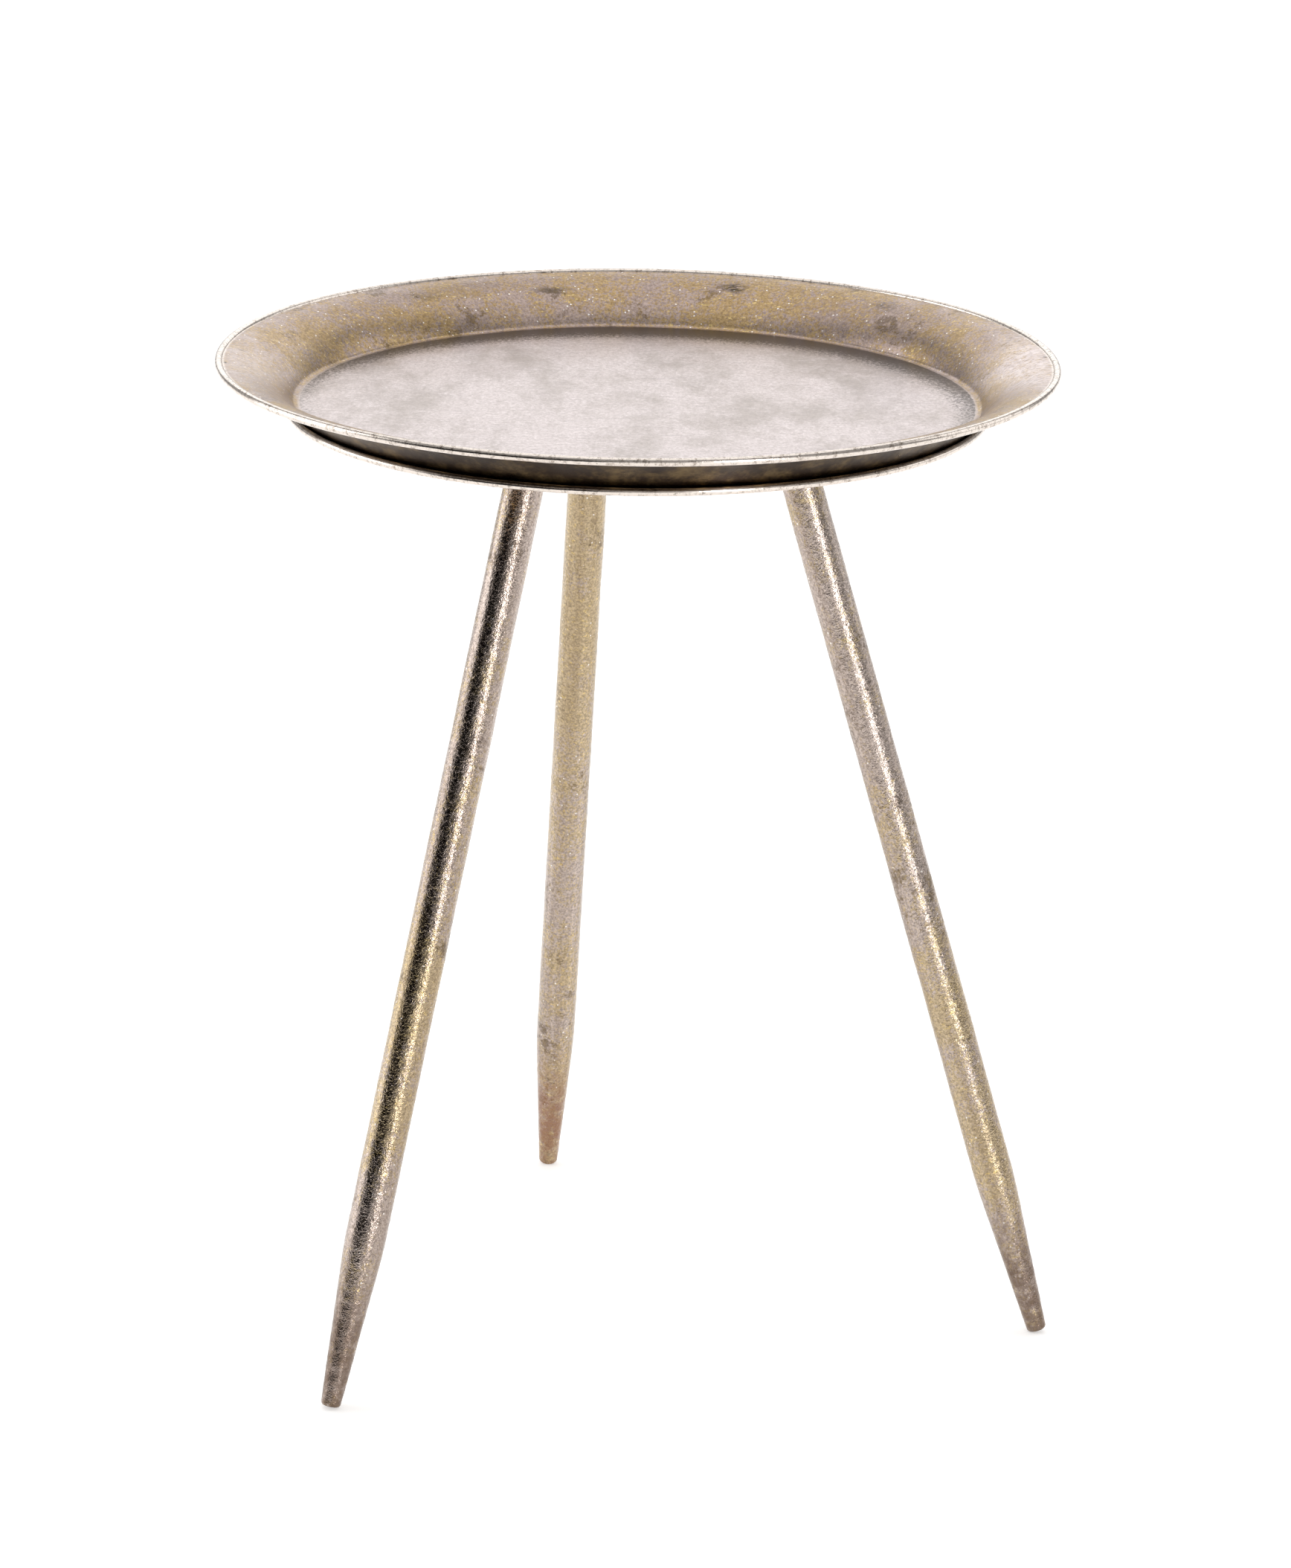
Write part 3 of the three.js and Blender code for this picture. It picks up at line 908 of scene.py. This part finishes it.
@dataclass
class LegAxis:
    """Where one leg stands: from the middle of its foot's end face up to the plate's underside."""

    name: str
    bearing: float  # where it meets the plate, degrees from +X
    drift: float  # how far round its foot stands from that bearing
    plate_underside: float
    top_circle: float = 71
    foot_circle: float = 204.5
    tip_radius: float = 4.75
    tip_corner: float = 1.8
    foot: Vector = field(init=False)
    turn: Matrix = field(init=False)
    length: float = field(init=False)

    def __post_init__(self) -> None:
        """Works out the foot, the tilt and the length.

        The foot's middle is lifted along the axis until the lowest point of its rounded end is on the
        floor.
        """
        top = self.spot(self.top_circle, self.bearing, self.plate_underside)
        bottom = self.spot(self.foot_circle, self.bearing + self.drift, 0)
        up = (top - bottom).normalized()
        lean = math.acos(up.z)
        edge_drop = (self.tip_radius - self.tip_corner) * math.sin(lean)
        corner_drop = self.tip_corner * (1 - math.cos(lean))
        self.foot = bottom + up * ((edge_drop + corner_drop) / up.z)
        self.turn = Vector((0, 0, 1)).rotation_difference(up).to_matrix()
        self.length = (self.plate_underside - self.foot.z) / up.z

    def spot(self, radius: float, bearing: float, height: float) -> Vector:
        """A point at a bearing on a circle round the table's axis."""
        turn = math.radians(bearing)
        return Vector((radius * math.cos(turn), radius * math.sin(turn), height))

    def placed(self, local: np.ndarray) -> np.ndarray:
        """Points of the upright leg, turned onto its axis and moved to its foot."""
        return local @ np.array(self.turn).T + np.array(self.foot)


@dataclass
class TripodLeg:
    """One leg with its fittings: tube, pressed-in plug, threaded stud, spring washer and welded socket."""

    axis: LegAxis
    seed: int
    radius: float = 9.6
    wall: float = 1.6
    taper_length: float = 78
    shoulder: float = 16  # length of the soft bend above the taper
    solid_tip: float = 14
    chamfer: float = 0.4  # of the tube's and the plug's edges
    row_length: float = 1.2  # between the straight tube's rings
    pebbles: float = 0.036  # height of the pebbles on the tube's outside
    pebble_sizes: Pair = (2.2, 4.6)
    bends: float = 0.05  # how far the tube is from straight and round
    bend_lengths: Pair = (25, 80)
    socket_length: float = 18
    socket_overhang: float = 1.9
    socket_chamfer: float = 1
    bore_chamfer: float = 0.8
    stud_radius: float = 5
    stud_chamfer: float = 0.8
    thread_pitch: float = 1.5
    thread_depth: float = 0.92
    thread_runout: float = 1.2  # length over which the thread dies out at both ends
    stud_in_plug: float = 16
    stud_in_socket: float = 11
    stud_end_room: float = 2
    plug_length: float = 24
    knurls: int = 48
    knurl_depth: float = 0.12
    washer_width: float = 3.5
    washer_thickness: float = 2.2
    washer_slit: float = 1.6
    washer_squareness: float = 0.35  # power of the section's cosine and sine; 1 is round, 0 is square
    washer_shrink: float = 0.9  # of the section at both ends, which rounds their edges
    weld_radius: float = 1.7
    weld_ripples: int = 34

    def __post_init__(self) -> None:
        """Stacks the fittings down the axis from the plate."""
        self.socket_foot = self.axis.length - self.socket_length
        self.washer_foot = self.socket_foot - GAP - self.washer_thickness
        self.leg_top = self.washer_foot - GAP
        self.stud_top = self.socket_foot + self.stud_in_socket
        self.stud_bore = self.stud_radius + GAP
        self.socket_radius = self.radius + self.socket_overhang

    def fitted(
        self,
        kind: str,
        rows: np.ndarray,
        finish: Material,
        node: str = "",
        capped: bool = True,
    ) -> Object:
        """Skins and dresses one of the leg's pieces.

        Args:
            kind: the piece's name after the leg's own.
            rows: its rings, in place under the plate.
            finish: its material.
            node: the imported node's name before the leg's own, if there is one.
            capped: whether its first and last rings are closed, or joined to each other.

        Returns:
            The new object.
        """
        piece = skin(f"leg_{self.axis.name}_{kind}", rows, *(centres(rows) if capped else ()))
        return finish_piece(piece, Body.BASE, finish, node and f"{node}_{self.axis.name}")

    def tube_profile(self) -> Profile:
        """The tube's outline from the middle of its end face up the outside and down the bore.

        The end has an arc at its edge, the taper is straight, and a quadratic bend carries it into the
        straight tube.
        """
        tip, corner = self.axis.tip_radius, self.axis.tip_corner
        taper = (self.radius - tip) / (self.taper_length - corner)
        half = self.shoulder / 2
        bend = np.array([
            (self.radius - taper * half, self.taper_length - half),
            (self.radius, self.taper_length),
            (self.radius, self.taper_length + half),
        ])
        straight = int((self.leg_top - self.taper_length) / self.row_length)
        bore = self.radius - self.wall
        bore_tip = tip + taper * self.solid_tip - self.wall
        return np.concatenate([
            line((0.8, 0), (tip - corner, 0), steps=3)[:-1],
            arc((tip - corner, corner), corner, -90, 0, steps=8),
            line((tip, corner), tuple(bend[0]), steps=52)[1:-1],
            bezier(bend, steps=12),
            line(tuple(bend[2]), (self.radius, self.leg_top - self.chamfer), steps=straight)[1:],
            np.array([(self.radius - self.chamfer, self.leg_top), (bore + 0.3, self.leg_top)]),
            np.array([(bore, self.leg_top - 0.3), (bore, self.taper_length + half)]),
            np.array([(bore_tip, self.solid_tip), (1.0, self.solid_tip)]),
        ])

    def build_tube(self, finish: Material) -> Object:
        """Turns the tube and pebbles its outside, but not its end faces."""
        outline = self.tube_profile()
        local = turned(outline, segments=96)
        inside_points = 6  # at the outline's end: the top edge and the bore
        outside = np.arange(len(outline)) < len(outline) - inside_points
        height = outline[:, 1]
        strength = outside * ramp(height, 2, 12) * ramp(-height, -self.leg_top, 4 - self.leg_top)
        pebbles = Waves(self.pebbles, *self.pebble_sizes, self.seed).at(local)
        bends = Waves(self.bends, *self.bend_lengths, self.seed + 1).at(local)
        push(local, (pebbles + bends) * strength[:, None])
        tube = self.fitted("tube", self.axis.placed(local), finish, "leg")
        mark(tube, "leg_place", local * MM)
        return tube

    def build_plug(self, finish: Material) -> Object:
        """The plug: a ring section with chamfers, its outside knurled by shallow flutes."""
        outer, inner, cut = self.radius - self.wall - GAP, self.stud_bore, self.chamfer
        foot, top = self.leg_top - self.plug_length, self.leg_top
        outline = np.concatenate([
            line((inner + cut, foot), (outer - cut, foot), steps=2),
            line((outer, foot + cut), (outer, top - cut), steps=12),
            line((outer - cut, top), (inner + cut, top), steps=2),
            line((inner, top - cut), (inner, foot + cut), steps=12),
        ])
        segments = self.knurls * 4
        local = turned(outline, segments)
        flutes = self.knurl_depth * (0.5 + 0.5 * np.cos(self.knurls * circle(segments)))
        push(local, -flutes * np.isclose(outline[:, :1], outer))
        rows = self.axis.placed(local)
        return self.fitted("plug", rows, finish, "leg_plug", capped=False)

    def build_stud(self, finish: Material) -> Object:
        """The stud: its radius dips by the thread's depth as a triangle wave of height less turn.

        The wave has one period for each pitch, so its grooves wind up the stud, and fades at both ends.
        """
        foot, top = self.leg_top - self.stud_in_plug, self.stud_top
        steps = int((top - foot) / self.thread_pitch * 10)
        height = np.linspace(foot, top, steps + 1)[:, None]
        turn = circle(segments=48)
        phase = (height / self.thread_pitch - turn / (2 * np.pi)) % 1
        groove = 1 - np.abs(2 * phase - 1)
        fade, inward = (
            ramp(height, foot, foot + length) * ramp(-height, -top, length - top)
            for length in (self.thread_runout, self.stud_chamfer)
        )
        radius = self.stud_radius - self.stud_chamfer * (1 - inward) - self.thread_depth * groove * fade
        rows = self.axis.placed(polar(radius, turn, height))
        return self.fitted("stud", rows, finish, "leg_stud")

    def build_washer(self, finish: Material) -> Object:
        """The split spring washer: a rounded square section, carried from one side of its slit to the other.

        The carried section is closed at both ends by rings that shrink onto its middle.
        """
        half = np.array([self.washer_width, self.washer_thickness]) / 2
        middle = np.array([self.stud_bore, self.washer_foot]) + half
        section = arc((0, 0), 1, 0, 360, steps=32)[:-1]
        section = np.sign(section) * np.abs(section) ** self.washer_squareness
        slit = self.washer_slit / 2 / middle[0]
        turn = np.linspace(slit, 2 * np.pi - slit, 97)
        turn = np.concatenate([turn[:1], turn, turn[-1:]])
        size = np.ones((len(turn), 1, 1))
        size[[0, -1]] = self.washer_shrink
        outline = (middle + half * section * size)[:, ::-1]
        rows = self.axis.placed(polar(outline[..., 0], turn[:, None], outline[..., 1]))
        return self.fitted("washer", rows, finish, "spring_washer")

    def cut_height(self, radius: float, turn: np.ndarray) -> np.ndarray:
        """How far up the axis the level face under the plate is met, at a radius and angles round it.

        A point at height s has the level foot.z + x * X.z + y * Y.z + s * Z.z, where X, Y and Z are the
        turned axes, so s is what remains of the level divided by Z.z.
        """
        tilt = np.array(self.axis.turn)[2]
        level = self.axis.plate_underside - GAP - self.axis.foot.z
        return (level - radius * (np.cos(turn) * tilt[0] + np.sin(turn) * tilt[1])) / tilt[2]

    def build_socket(self, finish: Material) -> Object:
        """The angled socket: a boss cut off level under the plate and bored from below."""
        turn = circle(segments=96)
        outer, bore = self.socket_radius, self.stud_bore
        foot, blind = self.socket_foot, self.stud_top + self.stud_end_room
        cut, low = self.cut_height(outer, turn), foot + self.socket_chamfer
        rings = [
            (outer / 2, self.cut_height(outer / 2, turn)),
            *((outer, cut * (1 - share) + low * share) for share in np.linspace(0, 1, 9)),
            (outer - self.socket_chamfer, foot),
            (bore + self.bore_chamfer, foot),
            (bore, foot + self.bore_chamfer),
            (bore, blind),
            (bore / 2, blind),
        ]
        local = np.stack([polar(radius, turn, height) for radius, height in rings[::-1]])
        return self.fitted("socket", self.axis.placed(local), finish, "leg_socket")

    def build_weld(self, finish: Material) -> Object:
        """The weld round the socket: a small round section along the edge where it meets the plate.

        Its radius swells and shrinks as sines of the angle, which leaves the ripples of the weld.
        """
        turn, section = circle(segments=220), circle(segments=14)[:, None]
        fine, coarse = np.abs(np.sin(turn * self.weld_ripples / 2)), np.sin(turn * 3 + self.seed)
        ripple = self.weld_radius * (0.86 + 0.1 * fine + 0.05 * coarse)
        reach = self.socket_radius + 0.2 + ripple * np.cos(section)
        edge = self.cut_height(self.socket_radius, turn) - 0.9 * self.weld_radius
        rows = self.axis.placed(polar(reach, turn, edge + ripple * np.sin(section) * 0.8))
        rows[..., 2] = np.minimum(rows[..., 2], self.axis.plate_underside - 0.05)
        return self.fitted("socket_weld", rows, finish, capped=False)


# ---- Felt pads ----


@dataclass
class FeltPad:
    """A round felt pad on the plate, under the tray."""

    name: str
    seed: int
    roundness: float = 0.35  # of its edges, as a part of its thickness
    fuzz: float = 0.05
    fibres: Pair = (0.8, 2.0)

    def build(self, finish: Material) -> Object:
        """A disc with rounded edges, its faces and rim roughened by a few hundredths of a millimetre."""
        low, high = (np.array(corner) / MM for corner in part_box(f"tray_pad_{self.name}"))
        radius, thickness = (high[0] - low[0]) / 2, high[2] - low[2]
        edge = self.roundness * thickness
        outline = np.concatenate([
            line((1, 0), (radius - edge, 0), steps=8),
            arc((radius - edge, edge), edge, -80, 0, steps=4),
            arc((radius - edge, thickness - edge), edge, 0, 90, steps=4),
            line((radius - edge - 0.3, thickness), (1, thickness), steps=8),
        ])
        rows = turned(outline, segments=96)
        fuzz = Waves(self.fuzz, *self.fibres, self.seed).at(rows)
        push(rows, fuzz * ramp(outline[:, :1], radius - 1, radius))
        rows[..., 2] += 0.5 * fuzz
        foot = np.array([*((low + high) / 2)[:2], low[2]])
        pad = skin(f"felt_pad_{self.name}", rows + foot, foot, foot + [0, 0, thickness])
        return finish_piece(pad, Body.BASE, finish, f"tray_pad_{self.name}")


# ---- Studio ----


@dataclass
class Studio:
    """A pale floor, soft lights and the camera."""

    lens: float = 162.2391  # mm
    sensor: float = 36  # mm, along the picture's height
    place: Triple = (0, -3.2618, 1.2282)
    yaw: float = 0.0020
    pitch: float = 0.2873
    roll: float = 0.0151
    floor_size: float = 60
    air: str = "#F2F1F0"
    air_strength: float = 0.38

    def build_camera(self) -> None:
        """Aims the camera: yaw about Z, then down by the pitch, then rolled about its own line of sight."""
        sight = Vector((
            math.sin(self.yaw) * math.cos(self.pitch),
            math.cos(self.yaw) * math.cos(self.pitch),
            -math.sin(self.pitch),
        ))
        level = Vector((math.cos(self.yaw), -math.sin(self.yaw), 0))
        over = level.cross(sight)
        right = level * math.cos(self.roll) + over * math.sin(self.roll)
        up = over * math.cos(self.roll) - level * math.sin(self.roll)
        lens = bpy.data.cameras.new("camera")
        lens.sensor_width = self.sensor
        lens.lens = self.lens
        lens.clip_end = 200
        camera = stand("camera", lens)
        turn = Matrix((right, up, -sight)).transposed().to_4x4()
        camera.matrix_world = Matrix.Translation(self.place) @ turn
        bpy.context.scene.camera = camera

    def facing(self, centre: Triple, height: float) -> Matrix:
        """The placing of something whose -Z looks from its centre at a height on the table's axis."""
        aim = (Vector((0, 0, height)) - Vector(centre)).to_track_quat("-Z", "Y")
        return Matrix.Translation(centre) @ aim.to_matrix().to_4x4()

    def sheet(
        self, name: str, width: float, height: float, place: Matrix, finish: Backdrop
    ) -> Object:
        """A flat rectangle of studio paper or cloth, from its four corners."""
        half = Vector((width / 2, height / 2, 0))
        corners = [half * Vector((x, y, 0)) for x, y in ((-1, -1), (1, -1), (1, 1), (-1, 1))]
        mesh = bpy.data.meshes.new(name)
        mesh.from_pydata([place @ corner for corner in corners], [], [(0, 1, 2, 3)])
        mesh.materials.append(finish.material())
        made = stand(name, mesh)
        return made

    def softbox(self, name: str, centre: Triple, width: float, height: float, radiance: float) -> None:
        """A soft rectangular light facing the table; its power is radiance times area times pi."""
        lamp = bpy.data.lights.new(name, "AREA")
        lamp.shape = "RECTANGLE"
        lamp.size, lamp.size_y = width, height
        lamp.energy = radiance * width * height * math.pi
        light = stand(name, lamp)
        light.matrix_world = self.facing(centre, 0.4)
        light.visible_camera = False

    def flag(self, name: str, centre: Triple, width: float, height: float) -> None:
        """A black card that only darkens what the metal mirrors."""
        cloth = Backdrop("black_flag_cloth", "#0E0D0D", "#0E0D0D")
        card = self.sheet(name, width, height, self.facing(centre, 0.3), cloth)
        card.visible_camera = False
        card.visible_shadow = False
        card.visible_diffuse = False

    def build(self) -> None:
        """Sets up the floor, the lights, the flag, the surrounding light and the camera."""
        paper = Backdrop("matt_white_paper", "#F4F3F2", "#F8F7F6", glow=0.45)
        self.sheet("studio_floor", self.floor_size, self.floor_size, Matrix.Identity(4), paper)
        self.softbox("back_panel", (0, 5.2, 2.5), 6.0, 3.2, radiance=1.1)
        self.softbox("overhead", (0, 0.8, 3.6), 3.8, 4.6, radiance=0.85)
        self.softbox("right_strip", (1.9, -3.4, 1.0), 0.6, 2.2, radiance=11.0)
        self.softbox("left_fill", (-3.2, 0.6, 1.5), 2.6, 3.0, radiance=1.7)
        self.softbox("right_fill", (3.4, 1.2, 2.0), 2.6, 3.0, radiance=1.0)
        self.flag("left_flag", (-1.1, -1.5, 0.5), 2.0, 1.5)
        world = bpy.data.worlds.new("studio_air")
        world.use_nodes = True
        backdrop = world.node_tree.nodes["Background"]
        backdrop.inputs["Color"].default_value = linear(self.air)
        backdrop.inputs["Strength"].default_value = self.air_strength
        bpy.context.scene.world = world
        bpy.context.scene.view_settings.view_transform = "Standard"
        self.build_camera()


# ---- The table ----

TRAY_SMUDGES = (
    Smudge(3, 187, 190, 46, 0.8, "#E4D8D6", 1.2, 20),
    Smudge(182, 187, 150, 46, 0.45, "#DDD0CC", 1.2, 20),
    Smudge(74.8, 183, 17, 11),
    Smudge(48.8, 184, 18, 12, 0.55, "#5A5048", 2.2),
    Smudge(149, 194, 9, 7, 0.9),
    Smudge(125.7, 182, 26, 10, 0.5, "#5E5242", 3.0),
    Smudge(104.2, 179, 34, 7, 0.6, "#54493C", 3.0),
    Smudge(184.8, 195, 5, 2.5),
    Smudge(6.2, 195, 8, 4, 0.7),
    Smudge(57, 176, 50, 22, 0.35, "#93817A", 1.4, 10),
    Smudge(118, 186, 70, 22, 0.4, "#86735F", 1.4, 10),
    Smudge(8, 118, 110, 60, 0.3, "#9C9090", 2.4, 30),
    Smudge(52, 128, 110, 50, 0.3, "#94887F", 2.4, 30),
)
BRASS = "antiqued_brass_plate_on_"
THIN = {"grain_height": 0.004}  # thin sheet is rolled smoother than the legs
PLATE_FINISH = TrayPlate(
    BRASS + "spun_disc", gold_share=0.6, pebble_height=0.008, offset=(0.31, 0.12, 0), **THIN
)
TRAY_FINISH = TrayPlate(
    BRASS + "spun_tray", grain_shade="#C2C0BF", pebble_height=0.012, smudges=TRAY_SMUDGES, **THIN
)
SOCKET_FINISH = AgedPlate(BRASS + "turned_socket", tarnish_share=0.5)
WELD_FINISH = AgedPlate(BRASS + "weld", gold_share=0.4, tarnish_share=0.7, pebble_height=0.09)
LEG_FINISHES = (
    LegPlate(BRASS + "leg_a", gold_share=0.3, gold_from=120, gold_to=230),
    LegPlate(BRASS + "leg_b", gold_from=240, gold_to=450, offset=(0.2, 0, 0.1), foot_colour="#8C6650"),
    LegPlate(BRASS + "leg_c", gold_share=0.3, gold_from=70, gold_to=190, offset=(0, 0.3, 0.2)),
)


def main() -> None:
    """Builds the table in its order of assembly, then the studio."""
    logging.basicConfig(level=logging.INFO, format="%(name)s: %(message)s")
    plate = SupportPlate()
    plate.build(PLATE_FINISH.material())
    socket, weld, steel, felt = (f.material() for f in (SOCKET_FINISH, WELD_FINISH, ZincSteel(), Felt()))
    legs = (("a", 227.5, 0.0, 31), ("b", 107.5, -6.0, 38), ("c", 347.5, 2.5, 45))
    for i, (name, bearing, drift, seed) in enumerate(legs):
        leg = TripodLeg(LegAxis(name, bearing, drift, plate.underside), seed)
        leg.build_socket(socket)
        leg.build_weld(weld)
        leg.build_stud(steel)
        leg.build_washer(steel)
        leg.build_plug(steel)
        leg.build_tube(LEG_FINISHES[i].material())
        FeltPad(name, seed=61 + i).build(felt)
    SpunTray().build(TRAY_FINISH.material())
    Studio().build()


if __name__ == "__main__":
    main()
